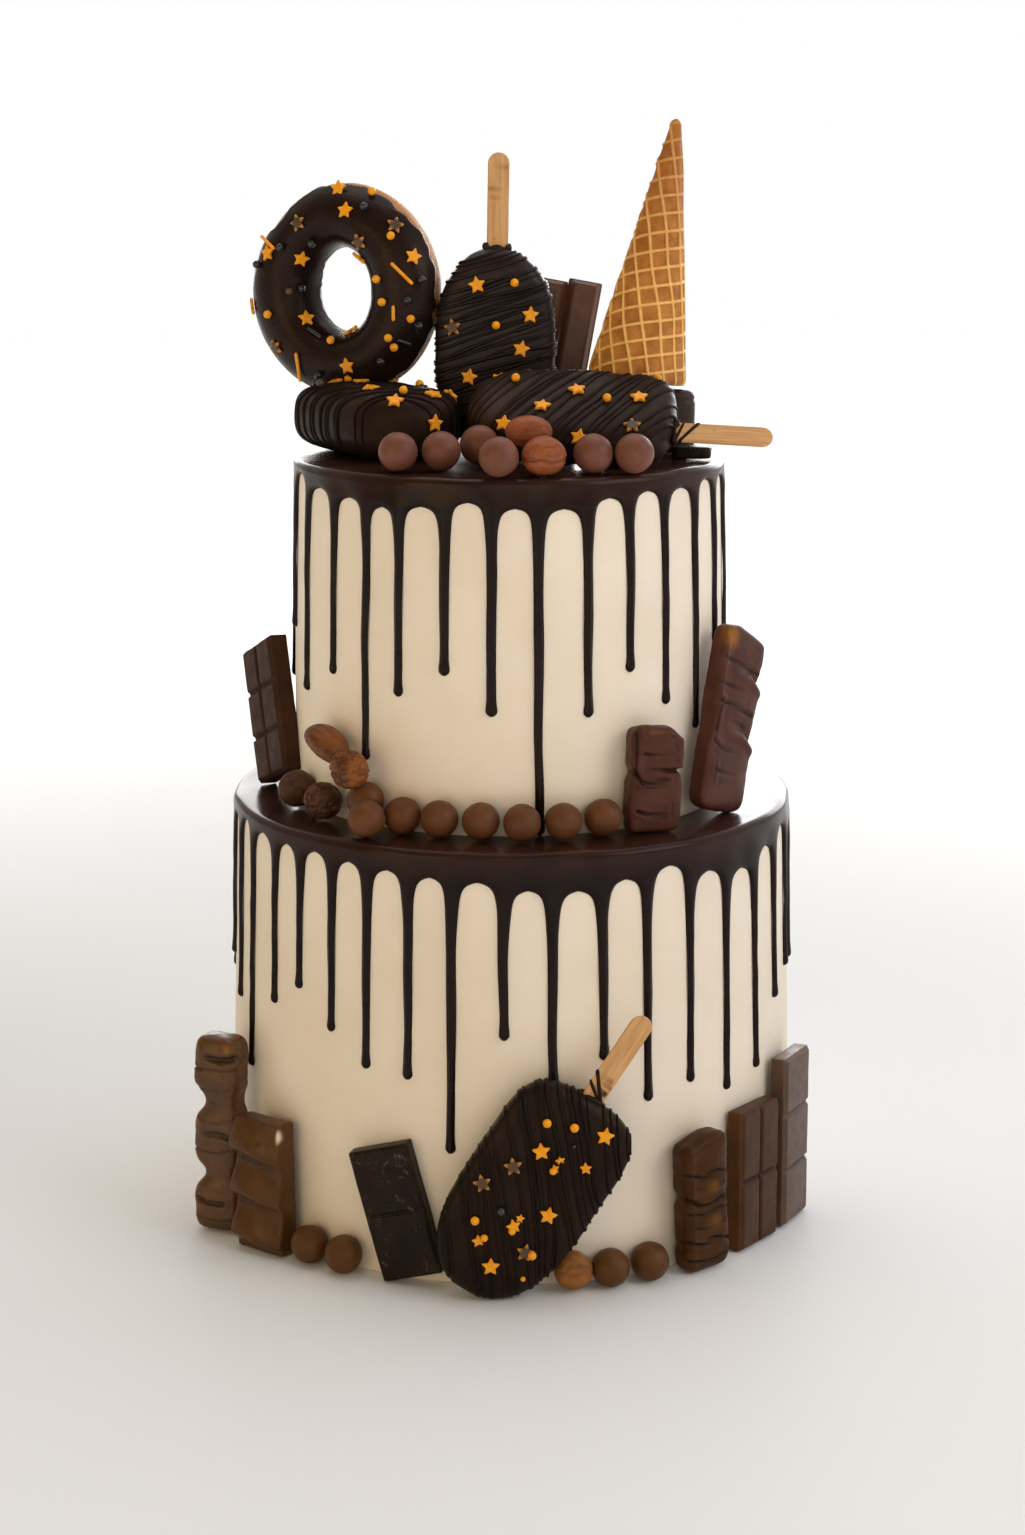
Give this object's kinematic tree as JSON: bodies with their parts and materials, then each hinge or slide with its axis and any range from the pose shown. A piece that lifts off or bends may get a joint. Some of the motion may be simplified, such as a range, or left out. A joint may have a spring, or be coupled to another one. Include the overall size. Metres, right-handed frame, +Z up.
{
  "type": "two-tier drip cake",
  "caption": "Two-tier round cake with cream sides, dark glossy drips, and a crown of doughnut, cone, cake pops, chocolates and nuts on top and round the foot of each tier.",
  "frame": {"origin": "centre of the lower tier's flat base, on the surface the cake stands on", "axes": "+Z up along the tiers' common axis, +X to the right and -Y towards the viewer of the front"},
  "size_m": [0.2709, 0.2717, 0.4768],
  "materials": {
    "cream": "smooth satin buttercream",
    "ganache": "very glossy dark chocolate",
    "dough": "baked dough",
    "coating": "dark chocolate coating, satin",
    "stick_wood": "plain sanded wood",
    "waffle": "baked wafer",
    "finger": "milk chocolate",
    "block": "chocolate coating, satin",
    "dark_chocolate": "dark chocolate, satin",
    "milk_top": "milk chocolate, satin",
    "milk_ball": "milk chocolate, satin",
    "nut": "nut skin",
    "nut_light": "roasted nut skin",
    "nut_coated": "milk chocolate, satin",
    "nut_gold": "roasted nut skin",
    "tablet": "milk chocolate, satin",
    "bar": "milk chocolate coating, satin",
    "bar_milk": "milk chocolate, satin"
  },
  "bodies": {
    "root": {"tier_lower": "cream", "tier_upper": "cream", "ganache_lower": "ganache", "ganache_upper": "ganache", "doughnut_dough": "dough", "doughnut_glaze": "coating", "pop_upright": "coating", "pop_upright_stick": "stick_wood", "pop_lying": "coating", "pop_lying_stick": "stick_wood", "pop_front": "coating", "pop_front_stick": "stick_wood", "pop_low": "coating", "waffle_cone": "waffle", "finger_right": "finger", "finger_left": "finger", "coated_block": "block", "flat_piece": "dark_chocolate", "ball_top_1": "milk_top", "ball_top_2": "milk_top", "ball_top_3": "milk_top", "ball_top_4": "milk_top", "ball_top_5": "milk_top", "ball_top_6": "milk_top", "nut_top_1": "nut", "nut_top_2": "nut", "ball_mid_1": "milk_ball", "ball_mid_2": "milk_ball", "ball_mid_3": "milk_ball", "ball_mid_4": "milk_ball", "ball_mid_5": "milk_ball", "ball_mid_6": "milk_ball", "ball_mid_7": "milk_ball", "ball_mid_8": "milk_ball", "nut_mid_1": "nut_light", "nut_mid_2": "nut_light", "nut_mid_3": "nut_coated", "nut_mid_4": "nut_coated", "ball_low_1": "milk_ball", "ball_low_2": "milk_ball", "ball_low_3": "milk_ball", "ball_low_4": "milk_ball", "nut_low": "nut_gold", "tablet_mid": "tablet", "tablet_dark": "dark_chocolate", "tablet_low_a": "tablet", "tablet_low_b": "tablet", "bar_mid_small": "bar", "bar_mid_big": "bar", "bar_tall": "bar_milk", "bar_low": "bar_milk", "bar_wave": "bar_milk"}
  },
  "joints": []
}
